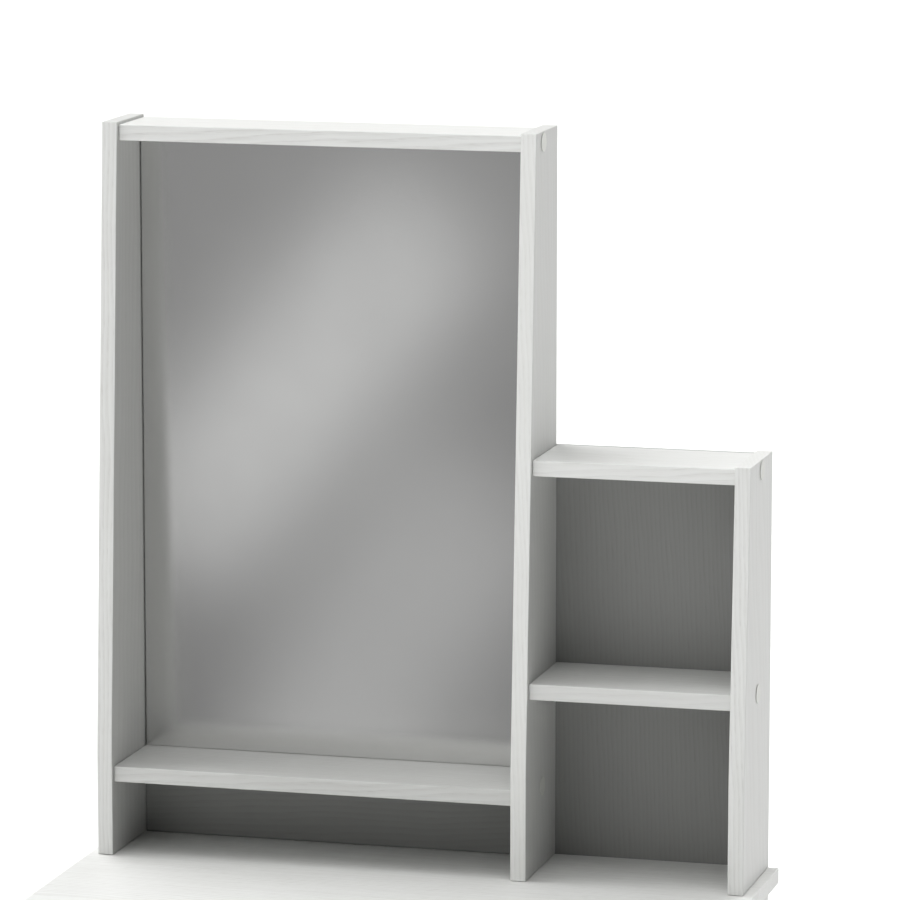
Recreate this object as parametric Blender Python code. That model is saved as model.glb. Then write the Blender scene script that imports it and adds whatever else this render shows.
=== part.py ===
"""A vanity table: a small desk with one drawer, and a hutch on it with a mirror bay and two cubbies.

Metres, +Z up. X runs to the right as one sits at the table, Y runs to its rear, and the origin is on
the floor under the middle of the whole. Every board is a flat panel with eased arrises. The boards
meet end to side, each end held by one connecting screw driven through the side panel, whose head
sits under a round cap.
"""

import math

import bmesh
import bpy
from mathutils import Matrix, Vector

# Clearances.
GAP = 0.0003  # between two pieces that rest on each other
HOLE_CLEARANCE = 0.0004  # all round a screw, a dowel or a nail in its hole

# Boards.
BOARD = 0.015  # every carcass board
ARRIS = 0.0008  # the eased arris of a board
THIN_ARRIS = 0.0004  # the eased arris of a thin panel

# Table.
TABLE_HEIGHT = 0.700
TABLE_WIDTH = 0.650
TABLE_DEPTH = 0.400
TOP_OVERHANG = 0.010  # of the table top past each desk side
TOP_OVERHANG_FRONT = 0.020
DESK_BACK_HEIGHT = 0.320
DESK_BACK_INSET = 0.010  # of the desk's back panel from the rear edges of its sides
DESK_BACK_SCREW_MARGIN = 0.060  # from the panel's upper and lower edges

# Glides under the desk sides.
GLIDE_RADIUS = 0.007
GLIDE_HEIGHT = 0.005
GLIDE_INSET = 0.030  # from the front and rear edges of a desk side
NAIL_RADIUS = 0.0012
NAIL_LENGTH = 0.014

# Hutch.
HUTCH_HEIGHT = 0.700  # the left and middle sides
CUBBY_HEIGHT = 0.400  # the right side
HUTCH_DEPTH = 0.116
MIRROR_BAY_WIDTH = 0.392  # between the left and middle sides
SLOPE_START = 0.100  # the front edges of the sides lean back from here up
SLOPE_ANGLE = math.radians(3.3)
BOARD_RECESS = 0.005  # of a shelf or top board behind the front edges of the sides
TOP_BOARD_DROP = 0.0028  # of a top board below the ends of the sides
MIRROR_SHELF_CLEARANCE = 0.071  # from the table top up to the mirror shelf
CUBBY_SHELF_CLEARANCE = 0.1725  # from the table top up to the cubby shelf

# Mirror and backs.
MIRROR_THICKNESS = 0.003
MIRROR_SIDE_GAP = 0.0015
MIRROR_BACKING = 0.012
BACK_PANEL = 0.003
BACK_PANEL_INSET = 0.0015  # from the outer faces of the two sides that it is pinned to
BACK_PANEL_LAP = 0.010  # down over the rear edge of the table top

# Connecting screws and their caps, each screw's place measured from the rear edges of the sides.
SCREW_LENGTH = 0.040
SCREW_RADIUS = 0.0025
SCREW_HEAD_RADIUS = 0.0042
SCREW_HEAD_HEIGHT = 0.003
SCREW_HEAD_DEPTH = 0.001  # of the head's outer face below the board's face
SCREW_TIP = 0.002
SOCKET_ACROSS_FLATS = 0.004
SOCKET_DEPTH = 0.0024
CAP_RADIUS = 0.009
CAP_THICKNESS = 0.0007
CAP_EASE = 0.0003  # how far the cap's face is eased down at its rim
CAP_PEG_RADIUS = 0.0014
CAP_PEG_LENGTH = 0.002
TOP_BOARD_SCREW = 0.0555
MIRROR_SHELF_SCREW = 0.054
CUBBY_TOP_SCREW = 0.0495
CUBBY_SHELF_SCREW = 0.0585

# Dowels that run down through the table top, from a hutch side into the desk side under it.
DOWEL_RADIUS = 0.004
DOWEL_REACH = 0.012  # into each side
DOWEL_SETBACK = 0.058  # from the rear edges of the sides

# Drawer.
DRAWER_FRONT_HEIGHT = 0.110
DRAWER_FRONT_GAP = 0.002  # all round, to the sides and the table top
DRAWER_FRONT_RECESS = 0.002  # behind the front edges of the desk sides
DRAWER_REAR_ROOM = 0.006  # the least room between the drawer box and the desk's back panel
DRAWER_BOX_HEIGHT = 0.080
DRAWER_BOX_DROP = 0.012  # of the box's upper edge below the upper edge of the drawer front
DRAWER_SIDE = 0.012
DRAWER_BOTTOM = 0.003
GROOVE_DEPTH = 0.006
GROOVE_HEIGHT = 0.010  # above the lower edge of the drawer side

# Knob on the drawer front, as (distance from the drawer front, radius) from its foot to its face.
KNOB_PROFILE = (
    (0.0, 0.0090),
    (0.0018, 0.0090),
    (0.0040, 0.0065),
    (0.0081, 0.0065),
    (0.0108, 0.0115),
    (0.0130, 0.0135),
    (0.0151, 0.0135),
    (0.0169, 0.0126),
    (0.0180, 0.0101),
)
KNOB_THREAD_DEPTH = 0.010
KNOB_SCREW_RADIUS = 0.002
KNOB_SCREW_HEAD_RADIUS = 0.004
KNOB_SCREW_HEAD_HEIGHT = 0.0022
KNOB_SCREW_HEAD_EASE = 0.0011  # the chamfer round the screw head's outer face

# Roller runners, one pair on each side of the drawer.
RUNNER_SPACE = 0.0125  # between a drawer side and the desk side
RUNNER_SHEET = 0.001
RUNNER_LENGTH_STEP = 0.050  # runners are made in lengths this far apart
RUNNER_SHELF = 0.010  # of the drawer runner, under the drawer side
CHANNEL_LIFT = 0.002  # of the channel's floor above the lower edge of the drawer side
FLANGE_TIP_CLEARANCE = 0.0014  # from a flange's tip to the upright of the other runner
FLANGE_CLEARANCE = 0.0005  # of the running flange above the channel's roof
ROLLER_RADIUS = 0.009
ROLLER_PLAY = 0.001  # between the drawer's roller and the roof of the channel
ROLLER_INSET = 0.013  # of each roller's axle from the end of its runner
ROLLER_SIDE_CLEARANCE = 0.0007
AXLE_RADIUS = 0.002
AXLE_HEAD_RADIUS = 0.0032
AXLE_HEAD = 0.0008
AXLE_TIP_CLEARANCE = 0.0009  # from an axle's head to the upright of the other runner

# Roundness, as the number of flats round a turned piece, and the angle past which an edge is sharp.
SMALL_FLATS = 12
ROUND_FLATS = 24
SHARP_ANGLE = math.radians(35)

# Places that follow from the sizes.
BACK_STANDS_OUT = GAP + BACK_PANEL  # of the pinned panel behind the table top
TABLE_FRONT_Y = -(TABLE_DEPTH + BACK_STANDS_OUT) / 2
TABLE_REAR_Y = TABLE_FRONT_Y + TABLE_DEPTH
SIDE_FRONT_Y = TABLE_FRONT_Y + TOP_OVERHANG_FRONT
SIDE_REAR_Y = TABLE_REAR_Y
HUTCH_FRONT_Y = SIDE_REAR_Y - HUTCH_DEPTH
OUTER_X = TABLE_WIDTH / 2 - TOP_OVERHANG  # outer face of the right side, in desk and hutch alike
INNER_X = OUTER_X - BOARD
MIDDLE_LEFT_X = -INNER_X + MIRROR_BAY_WIDTH
MIDDLE_RIGHT_X = MIDDLE_LEFT_X + BOARD
TABLE_UNDERSIDE = TABLE_HEIGHT - BOARD
HUTCH_BASE = TABLE_HEIGHT + GAP
MIRROR_SHELF_TOP = TABLE_HEIGHT + MIRROR_SHELF_CLEARANCE + BOARD
CUBBY_SHELF_TOP = TABLE_HEIGHT + CUBBY_SHELF_CLEARANCE + BOARD
TOP_BOARD_TOP = TABLE_HEIGHT + HUTCH_HEIGHT - TOP_BOARD_DROP
CUBBY_TOP_TOP = TABLE_HEIGHT + CUBBY_HEIGHT - TOP_BOARD_DROP


def clear_scene():
    for old in list(bpy.data.objects):
        bpy.data.objects.remove(old, do_unlink=True)


def make_material(name, colour, roughness, metallic=0.0):
    material = bpy.data.materials.new(name)
    material.use_nodes = True
    shader = material.node_tree.nodes["Principled BSDF"]
    shader.inputs["Base Color"].default_value = (*colour, 1.0)
    shader.inputs["Roughness"].default_value = roughness
    shader.inputs["Metallic"].default_value = metallic
    return material


def add_object(name, shape, material, location=(0, 0, 0), parent=None):
    """Links a finished bmesh as an object, smooth on its rounds and sharp at its corners."""
    bmesh.ops.recalc_face_normals(shape, faces=shape.faces)
    mesh = bpy.data.meshes.new(name)
    shape.to_mesh(mesh)
    shape.free()
    mesh.materials.append(material)
    mesh.shade_smooth()
    mesh.set_sharp_from_angle(angle=SHARP_ANGLE)
    made = bpy.data.objects.new(name, mesh)
    made.location = location
    made.parent = parent
    bpy.context.scene.collection.objects.link(made)
    return made


def prism(outline, low, high, ease=0.0, along="x"):
    """Extrudes an outline from low to high and eases all its arrises. The outline's points are
    (y, z) for a shape that runs along X, and (x, z) for one that runs along Y."""
    shape = bmesh.new()
    if along == "x":
        points = [(low, y, z) for y, z in outline]
        run = (high - low, 0, 0)
    else:
        points = [(x, low, z) for x, z in outline]
        run = (0, high - low, 0)
    face = shape.faces.new([shape.verts.new(point) for point in points])
    raised = bmesh.ops.extrude_face_region(shape, geom=[face])["geom"]
    corners = [item for item in raised if isinstance(item, bmesh.types.BMVert)]
    bmesh.ops.translate(shape, verts=corners, vec=run)
    if ease:
        bmesh.ops.bevel(shape, geom=shape.edges[:], offset=ease, segments=2, profile=0.5,
                        affect="EDGES", clamp_overlap=True)
    return shape


def rectangle(first, second):
    """The outline of a rectangle between two (low, high) pairs."""
    return [(first[0], second[0]), (first[1], second[0]), (first[1], second[1]), (first[0], second[1])]


def add_board(name, material, x, y, z, ease=ARRIS, parent=None):
    """A rectangular board between (low, high) pairs along X, Y and Z, its origin at its middle."""
    middle = Vector((sum(x) / 2, sum(y) / 2, sum(z) / 2))
    outline = rectangle((y[0] - middle.y, y[1] - middle.y), (z[0] - middle.z, z[1] - middle.z))
    place = middle - parent.location if parent else middle
    return add_object(name, prism(outline, x[0] - middle.x, x[1] - middle.x, ease), material, place, parent)


def turned(outline, flats, x=0.0):
    """Turns an outline of (distance along X, radius) points about X. Its ends are closed flat."""
    shape = bmesh.new()
    rings = []
    for along, radius in outline:
        angles = [2 * math.pi * step / flats for step in range(flats)]
        points = [(x + along, radius * math.cos(angle), radius * math.sin(angle)) for angle in angles]
        rings.append([shape.verts.new(point) for point in points])
    for ring, following in zip(rings, rings[1:]):
        for step in range(flats):
            after = (step + 1) % flats
            shape.faces.new((ring[step], ring[after], following[after], following[step]))
    shape.faces.new(rings[0])
    shape.faces.new(rings[-1])
    return shape


def join_shapes(name, shapes):
    """One mesh that holds several separate closed shapes, for a cutter."""
    mesh = bpy.data.meshes.new(name)
    whole = bmesh.new()
    for shape in shapes:
        bmesh.ops.recalc_face_normals(shape, faces=shape.faces)
        shape.to_mesh(mesh)
        shape.free()
        whole.from_mesh(mesh)
    whole.to_mesh(mesh)
    whole.free()
    return mesh


def combine(target, shapes, operation="DIFFERENCE"):
    """Cuts shapes out of an object, or joins them to it. The shapes are in world coordinates."""
    name = f"{target.name}_{operation.lower()}"
    cutter = bpy.data.objects.new(name, join_shapes(name, shapes))
    cutter.hide_render = True
    cutter.display_type = "WIRE"
    bpy.context.scene.collection.objects.link(cutter)
    modifier = target.modifiers.new(operation.title(), "BOOLEAN")
    modifier.operation = operation
    modifier.object = cutter


def facing(point, direction):
    """The matrix that moves a turned shape's start to a point and turns its axis along a direction."""
    turn = Vector((1, 0, 0)).rotation_difference(Vector(direction)).to_matrix().to_4x4()
    return Matrix.Translation(Vector(point)) @ turn


def hole(point, direction, outline, flats=SMALL_FLATS):
    """A turned cutter that starts at a point and runs along a direction."""
    shape = turned(outline, flats)
    bmesh.ops.transform(shape, matrix=facing(point, direction), verts=shape.verts)
    return shape


def side_front_y(height):
    """Y of the front edge of a hutch side at a height above the floor."""
    return HUTCH_FRONT_Y + max(0.0, height - TABLE_HEIGHT - SLOPE_START) * math.tan(SLOPE_ANGLE)


def add_hutch_side(name, material, inner_x, outer_x, height):
    """A hutch side: upright at the rear and at the foot, and leaning back above that."""
    top = TABLE_HEIGHT + height
    outline = [
        (HUTCH_FRONT_Y, HUTCH_BASE),
        (SIDE_REAR_Y, HUTCH_BASE),
        (SIDE_REAR_Y, top),
        (side_front_y(top), top),
        (HUTCH_FRONT_Y, TABLE_HEIGHT + SLOPE_START),
    ]
    middle = (inner_x + outer_x) / 2
    half = abs(outer_x - inner_x) / 2
    local = [(y - SIDE_REAR_Y, z - HUTCH_BASE) for y, z in outline]
    return add_object(name, prism(local, -half, half, ARRIS), material, (middle, SIDE_REAR_Y, HUTCH_BASE))


def add_shelf(name, material, x, top):
    """A horizontal hutch board whose front follows the sides and whose rear is flush with theirs."""
    front = side_front_y(top) + BOARD_RECESS
    ends = (x[0] + GAP, x[1] - GAP)
    return add_board(name, material, ends, (front, SIDE_REAR_Y), (top - BOARD, top))


def screw_outline():
    """A flat-headed connecting screw from its head's outer face to its tip."""
    return [
        (0, SCREW_HEAD_RADIUS - GAP),
        (GAP, SCREW_HEAD_RADIUS),
        (SCREW_HEAD_HEIGHT, SCREW_HEAD_RADIUS),
        (SCREW_HEAD_HEIGHT, SCREW_RADIUS),
        (SCREW_LENGTH - SCREW_TIP, SCREW_RADIUS),
        (SCREW_LENGTH, SCREW_RADIUS / 2),
    ]


def cap_outline():
    """A cover cap from the tip of its peg out to its slightly rounded face."""
    return [
        (-CAP_PEG_LENGTH, CAP_PEG_RADIUS),
        (0, CAP_PEG_RADIUS),
        (0, CAP_RADIUS),
        (CAP_THICKNESS - CAP_EASE, CAP_RADIUS),
        (CAP_THICKNESS, CAP_RADIUS - 2 * CAP_EASE),
    ]


def socket_cutter(point, direction):
    """The hexagon socket in a screw's head."""
    corner = SOCKET_ACROSS_FLATS / math.sqrt(3)
    outline = [(-SOCKET_DEPTH, corner), (SOCKET_DEPTH, corner)]
    return hole(point, direction, outline, 6)


def add_screw_and_cap(name, metal, plastic, panel, board, face_x, direction, y, z):
    """A screw driven from a panel's face at face_x along X into a board's end, with its cap."""
    axis = (direction, 0, 0)
    head = face_x + direction * SCREW_HEAD_DEPTH
    screw = add_object(f"{name}_screw", turned(screw_outline(), SMALL_FLATS), metal, (head, y, z))
    screw.rotation_euler = Vector((1, 0, 0)).rotation_difference(Vector(axis)).to_euler()
    combine(screw, [socket_cutter((head, y, z), axis)])
    cap_x = face_x - direction * GAP
    cap = add_object(f"{name}_cap", turned(cap_outline(), ROUND_FLATS), plastic, (cap_x, y, z))
    cap.rotation_euler = Vector((1, 0, 0)).rotation_difference(-Vector(axis)).to_euler()
    seat = SCREW_HEAD_DEPTH + SCREW_HEAD_HEIGHT + GAP
    bore = SCREW_RADIUS + HOLE_CLEARANCE
    start = (face_x - direction * SCREW_HEAD_DEPTH, y, z)
    sunk = SCREW_HEAD_RADIUS + HOLE_CLEARANCE
    through = [
        (0, sunk),
        (SCREW_HEAD_DEPTH + seat, sunk),
        (SCREW_HEAD_DEPTH + seat, bore),
        (SCREW_HEAD_DEPTH + BOARD + SCREW_HEAD_DEPTH, bore),
    ]
    reach = SCREW_HEAD_DEPTH + SCREW_LENGTH + SCREW_TIP
    into = [(BOARD, bore), (SCREW_HEAD_DEPTH + reach, bore)]
    return (panel, hole(start, axis, through)), (board, hole(start, axis, into))


def add_hutch_boards(laminate, backing):
    """The ten boards and panels of the hutch, by name."""
    left_bay = (-INNER_X, MIDDLE_LEFT_X)
    right_bay = (MIDDLE_RIGHT_X, INNER_X)
    left_ends = (left_bay[0] + GAP, left_bay[1] - GAP)
    rail_y = (SIDE_REAR_Y - BOARD, SIDE_REAR_Y)
    backing_y = (SIDE_REAR_Y - MIRROR_BACKING, SIDE_REAR_Y)
    pinned_x = (MIDDLE_LEFT_X + BACK_PANEL_INSET, OUTER_X - BACK_PANEL_INSET)
    pinned_y = (SIDE_REAR_Y + GAP, SIDE_REAR_Y + GAP + BACK_PANEL)
    return {
        "left": add_hutch_side("hutch_left_side", laminate, -INNER_X, -OUTER_X, HUTCH_HEIGHT),
        "middle": add_hutch_side("hutch_middle_side", laminate, MIDDLE_LEFT_X, MIDDLE_RIGHT_X, HUTCH_HEIGHT),
        "right": add_hutch_side("hutch_right_side", laminate, INNER_X, OUTER_X, CUBBY_HEIGHT),
        "top": add_shelf("hutch_top_board", laminate, left_bay, TOP_BOARD_TOP),
        "mirror_shelf": add_shelf("mirror_shelf", laminate, left_bay, MIRROR_SHELF_TOP),
        "cubby_top": add_shelf("cubby_top_board", laminate, right_bay, CUBBY_TOP_TOP),
        "cubby_shelf": add_shelf("cubby_shelf", laminate, right_bay, CUBBY_SHELF_TOP),
        "rail": add_board("lower_back_rail", laminate, left_ends, rail_y,
                          (HUTCH_BASE, MIRROR_SHELF_TOP - BOARD - GAP)),
        "backing": add_board("mirror_backing_board", backing, left_ends, backing_y,
                             (MIRROR_SHELF_TOP + GAP, TOP_BOARD_TOP - BOARD - GAP)),
        "cubby_back": add_board("cubby_back_panel", backing, pinned_x, pinned_y,
                                (TABLE_HEIGHT - BACK_PANEL_LAP, CUBBY_TOP_TOP), THIN_ARRIS),
    }


def add_mirror(glass):
    """The mirror, which stands on its shelf and is bonded to the backing board."""
    rear = SIDE_REAR_Y - MIRROR_BACKING - GAP
    x = (-INNER_X + MIRROR_SIDE_GAP, MIDDLE_LEFT_X - MIRROR_SIDE_GAP)
    z = (MIRROR_SHELF_TOP + GAP, TOP_BOARD_TOP - BOARD - MIRROR_SIDE_GAP)
    add_board("mirror_glass", glass, x, (rear - MIRROR_THICKNESS, rear), z, THIN_ARRIS)


def fasten_hutch(boards, metal, plastic):
    """One capped screw at each end of the hutch's four horizontal boards. Returns their holes."""
    rows = [
        ("hutch_top", "top", TOP_BOARD_TOP, TOP_BOARD_SCREW, "left", "middle"),
        ("mirror_shelf", "mirror_shelf", MIRROR_SHELF_TOP, MIRROR_SHELF_SCREW, "left", "middle"),
        ("cubby_top", "cubby_top", CUBBY_TOP_TOP, CUBBY_TOP_SCREW, "middle", "right"),
        ("cubby_shelf", "cubby_shelf", CUBBY_SHELF_TOP, CUBBY_SHELF_SCREW, "middle", "right"),
    ]
    left_face = {"left": -OUTER_X, "middle": MIDDLE_LEFT_X}
    right_face = {"middle": MIDDLE_RIGHT_X, "right": OUTER_X}
    holes = []
    for name, board, top, setback, left, right in rows:
        y = SIDE_REAR_Y - setback
        z = top - BOARD / 2
        for end, panel, face, direction in (
            ("left", left, left_face[left], 1),
            ("right", right, right_face[right], -1),
        ):
            holes += add_screw_and_cap(f"{name}_{end}", metal, plastic, boards[panel], boards[board],
                                       face, direction, y, z)
    return holes


def add_desk(laminate):
    """The table top, the two desk sides and the back panel between them."""
    side_y = (SIDE_FRONT_Y, SIDE_REAR_Y)
    side_z = (GLIDE_HEIGHT + GAP, TABLE_UNDERSIDE - GAP)
    back_rear = SIDE_REAR_Y - DESK_BACK_INSET
    back_top = TABLE_UNDERSIDE - GAP
    return {
        "table": add_board("table_top", laminate, (-TABLE_WIDTH / 2, TABLE_WIDTH / 2),
                           (TABLE_FRONT_Y, TABLE_REAR_Y), (TABLE_UNDERSIDE, TABLE_HEIGHT)),
        "desk_left": add_board("desk_left_side", laminate, (-OUTER_X, -INNER_X), side_y, side_z),
        "desk_right": add_board("desk_right_side", laminate, (INNER_X, OUTER_X), side_y, side_z),
        "desk_back": add_board("desk_back_panel", laminate, (-INNER_X + GAP, INNER_X - GAP),
                               (back_rear - BOARD, back_rear), (back_top - DESK_BACK_HEIGHT, back_top)),
    }


def fasten_desk(boards, metal, plastic):
    """Two capped screws at each end of the desk's back panel. Returns their holes."""
    y = SIDE_REAR_Y - DESK_BACK_INSET - BOARD / 2
    top = TABLE_UNDERSIDE - GAP
    rows = (("upper", top - DESK_BACK_SCREW_MARGIN),
            ("lower", top - DESK_BACK_HEIGHT + DESK_BACK_SCREW_MARGIN))
    holes = []
    for level, z in rows:
        for end, face, direction in (("left", -OUTER_X, 1), ("right", OUTER_X, -1)):
            holes += add_screw_and_cap(f"desk_back_{level}_{end}", metal, plastic, boards[f"desk_{end}"],
                                       boards["desk_back"], face, direction, y, z)
    return holes


def add_dowels(boards, beech):
    """A dowel down through the table top at each end, from hutch side to desk side."""
    length = 2 * DOWEL_REACH + BOARD
    bevel = DOWEL_RADIUS / 4
    outline = [(0, DOWEL_RADIUS - bevel), (bevel, DOWEL_RADIUS),
               (length - bevel, DOWEL_RADIUS), (length, DOWEL_RADIUS - bevel)]
    room = [(-HOLE_CLEARANCE, DOWEL_RADIUS + HOLE_CLEARANCE),
            (length + HOLE_CLEARANCE, DOWEL_RADIUS + HOLE_CLEARANCE)]
    holes = []
    for end, x in (("left", -OUTER_X + BOARD / 2), ("right", OUTER_X - BOARD / 2)):
        foot = (x, SIDE_REAR_Y - DOWEL_SETBACK, TABLE_UNDERSIDE - DOWEL_REACH)
        dowel = add_object(f"hutch_dowel_{end}", turned(outline, SMALL_FLATS), beech, foot)
        dowel.rotation_euler = Vector((1, 0, 0)).rotation_difference(Vector((0, 0, 1))).to_euler()
        for board in (boards["table"], boards[f"desk_{end}"], boards[end]):
            holes.append((board, hole(foot, (0, 0, 1), room)))
    return holes


def add_glides(boards, plastic):
    """A nailed plastic glide near each lower corner of the two desk sides."""
    outline = [
        (0, GLIDE_RADIUS - ARRIS),
        (ARRIS, GLIDE_RADIUS),
        (GLIDE_HEIGHT, GLIDE_RADIUS),
        (GLIDE_HEIGHT, NAIL_RADIUS),
        (GLIDE_HEIGHT + NAIL_LENGTH, NAIL_RADIUS / 2),
    ]
    nail_hole = [(GLIDE_HEIGHT, NAIL_RADIUS + HOLE_CLEARANCE),
                 (GLIDE_HEIGHT + NAIL_LENGTH + ARRIS, NAIL_RADIUS + HOLE_CLEARANCE)]
    rows = (("front", SIDE_FRONT_Y + GLIDE_INSET), ("rear", SIDE_REAR_Y - GLIDE_INSET))
    holes = []
    for end, x in (("left", -OUTER_X + BOARD / 2), ("right", OUTER_X - BOARD / 2)):
        for place, y in rows:
            glide = add_object(f"glide_{place}_{end}", turned(outline, ROUND_FLATS), plastic, (x, y, 0))
            glide.rotation_euler = Vector((1, 0, 0)).rotation_difference(Vector((0, 0, 1))).to_euler()
            holes.append((boards[f"desk_{end}"], hole((x, y, 0), (0, 0, 1), nail_hole, SMALL_FLATS)))
    return holes


# Heights and places that the drawer and its runners share.
FRONT_FACE_Y = SIDE_FRONT_Y + DRAWER_FRONT_RECESS
FRONT_TOP = TABLE_UNDERSIDE - DRAWER_FRONT_GAP
BOX_FRONT_Y = FRONT_FACE_Y + BOARD + GAP
DESK_BACK_FRONT_Y = SIDE_REAR_Y - DESK_BACK_INSET - BOARD
BOX_ROOM = DESK_BACK_FRONT_Y - DRAWER_REAR_ROOM - BOX_FRONT_Y
RUNNER_LENGTH = BOX_ROOM // RUNNER_LENGTH_STEP * RUNNER_LENGTH_STEP  # of the drawer box too
BOX_REAR_Y = BOX_FRONT_Y + RUNNER_LENGTH
BOX_TOP = FRONT_TOP - DRAWER_BOX_DROP
BOX_BASE = BOX_TOP - DRAWER_BOX_HEIGHT
BOX_OUTER_X = INNER_X - RUNNER_SPACE
CHANNEL_FLOOR = BOX_BASE + CHANNEL_LIFT
CHANNEL_ROOF = CHANNEL_FLOOR + 2 * ROLLER_RADIUS + ROLLER_PLAY
RUNNING_Z = CHANNEL_ROOF + RUNNER_SHEET + FLANGE_CLEARANCE  # underside of the running flange
RUNNER_FRONT_Y = BOX_FRONT_Y + GAP
RUNNER_ROOM = RUNNER_SPACE - 2 * (GAP + RUNNER_SHEET)  # between the uprights of a pair of runners
FLANGE = RUNNER_ROOM - FLANGE_TIP_CLEARANCE
ROLLER_WIDTH = RUNNER_ROOM - AXLE_TIP_CLEARANCE - AXLE_HEAD - 2 * ROLLER_SIDE_CLEARANCE


def add_drawer(laminate, white, knob_metal, metal, parent):
    """The drawer's front and four-piece box, with its knob. The bottom slides in grooves."""
    bottom_z = (BOX_BASE + GROOVE_HEIGHT, BOX_BASE + GROOVE_HEIGHT + DRAWER_BOTTOM)
    groove_z = (bottom_z[0] - GAP, bottom_z[1] + GAP)
    box_z = (BOX_BASE, BOX_TOP)
    inner = BOX_OUTER_X - DRAWER_SIDE
    front_half = INNER_X - DRAWER_FRONT_GAP
    front_y = (FRONT_FACE_Y, FRONT_FACE_Y + BOARD)
    box_y = (BOX_FRONT_Y, BOX_REAR_Y)
    front = add_board("drawer_front", laminate, (-front_half, front_half), front_y,
                      (FRONT_TOP - DRAWER_FRONT_HEIGHT, FRONT_TOP), parent=parent)
    left = add_board("drawer_left_side", white, (-BOX_OUTER_X, -inner), box_y, box_z, THIN_ARRIS, parent)
    right = add_board("drawer_right_side", white, (inner, BOX_OUTER_X), box_y, box_z, THIN_ARRIS, parent)
    add_board("drawer_back", white, (-inner + GAP, inner - GAP), (BOX_REAR_Y - DRAWER_SIDE, BOX_REAR_Y),
              (bottom_z[1] + GAP, BOX_TOP), THIN_ARRIS, parent)
    panel_half = inner + GROOVE_DEPTH - GAP
    add_board("drawer_bottom", white, (-panel_half, panel_half),
              (BOX_FRONT_Y - GROOVE_DEPTH, BOX_REAR_Y), bottom_z, 0, parent)

    groove_half = inner + GROOVE_DEPTH
    groove_y = (BOX_FRONT_Y - GROOVE_DEPTH - GAP, BOX_REAR_Y + BOARD)
    for board in (front, left, right):
        combine(board, [prism(rectangle(groove_y, groove_z), -groove_half, groove_half)])

    knob_z = FRONT_TOP - DRAWER_FRONT_HEIGHT / 2
    base_y = FRONT_FACE_Y - GAP
    outward = (0, -1, 0)
    knob = add_object("drawer_knob", turned(KNOB_PROFILE, ROUND_FLATS), knob_metal,
                      Vector((0, base_y, knob_z)) - parent.location, parent)
    knob.rotation_euler = Vector((1, 0, 0)).rotation_difference(Vector(outward)).to_euler()
    thread = KNOB_SCREW_RADIUS + HOLE_CLEARANCE
    combine(knob, [hole((0, base_y + GAP, knob_z), outward, [(0, thread), (KNOB_THREAD_DEPTH, thread)])])

    head_y = FRONT_FACE_Y + BOARD + GAP + KNOB_SCREW_HEAD_HEIGHT
    reach = KNOB_SCREW_HEAD_HEIGHT + BOARD + KNOB_THREAD_DEPTH - HOLE_CLEARANCE
    screw_profile = [
        (0, KNOB_SCREW_HEAD_RADIUS - KNOB_SCREW_HEAD_EASE),
        (KNOB_SCREW_HEAD_EASE, KNOB_SCREW_HEAD_RADIUS),
        (KNOB_SCREW_HEAD_HEIGHT, KNOB_SCREW_HEAD_RADIUS),
        (KNOB_SCREW_HEAD_HEIGHT, KNOB_SCREW_RADIUS),
        (reach, KNOB_SCREW_RADIUS),
    ]
    screw = add_object("knob_screw", turned(screw_profile, SMALL_FLATS), metal,
                       Vector((0, head_y, knob_z)) - parent.location, parent)
    screw.rotation_euler = Vector((1, 0, 0)).rotation_difference(Vector(outward)).to_euler()
    passage = [(0, thread), (2 * GAP + BOARD + 2 * ARRIS, thread)]
    return [(front, hole((0, FRONT_FACE_Y + BOARD + ARRIS, knob_z), outward, passage))]


def axle(point, direction, length):
    """A riveted axle with its head, long enough for one roller."""
    outline = [(0, AXLE_RADIUS), (length - AXLE_HEAD, AXLE_RADIUS),
               (length - AXLE_HEAD, AXLE_HEAD_RADIUS), (length, AXLE_HEAD_RADIUS)]
    return hole(point, direction, outline)


def channel_outline(face, sign):
    """The cabinet runner's section: a web on the desk side, with a floor and a roof towards the
    drawer. face is X of the web's back, and sign the way from the drawer to the desk side."""
    web = face - sign * RUNNER_SHEET
    tip = web - sign * FLANGE
    return [
        (face, CHANNEL_FLOOR - RUNNER_SHEET),
        (face, CHANNEL_ROOF + RUNNER_SHEET),
        (tip, CHANNEL_ROOF + RUNNER_SHEET),
        (tip, CHANNEL_ROOF),
        (web, CHANNEL_ROOF),
        (web, CHANNEL_FLOOR),
        (tip, CHANNEL_FLOOR),
        (tip, CHANNEL_FLOOR - RUNNER_SHEET),
    ]


def angle_outline(face, sign):
    """The drawer runner's section: a shelf under the drawer side, a leg up its outer face, and a
    running flange out towards the desk side. face is X of the leg's inner face."""
    leg = face + sign * RUNNER_SHEET
    tip = leg + sign * FLANGE
    shelf_end = face - sign * RUNNER_SHELF
    shelf_top = BOX_BASE - GAP
    return [
        (shelf_end, shelf_top - RUNNER_SHEET),
        (leg, shelf_top - RUNNER_SHEET),
        (leg, RUNNING_Z),
        (tip, RUNNING_Z),
        (tip, RUNNING_Z + RUNNER_SHEET),
        (face, RUNNING_Z + RUNNER_SHEET),
        (face, shelf_top),
        (shelf_end, shelf_top),
    ]


def add_runner(name, steel, outline, length_y, pin, parent=None):
    """A rolled steel section along Y with its roller's axle riveted in."""
    middle = Vector((outline[0][0], sum(length_y) / 2, outline[0][1]))
    local = [(x - middle.x, z - middle.z) for x, z in outline]
    shape = prism(local, length_y[0] - middle.y, length_y[1] - middle.y, along="y")
    place = middle - parent.location if parent else middle
    runner = add_object(name, shape, steel, place, parent)
    combine(runner, [pin], "UNION")
    return runner


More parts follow.
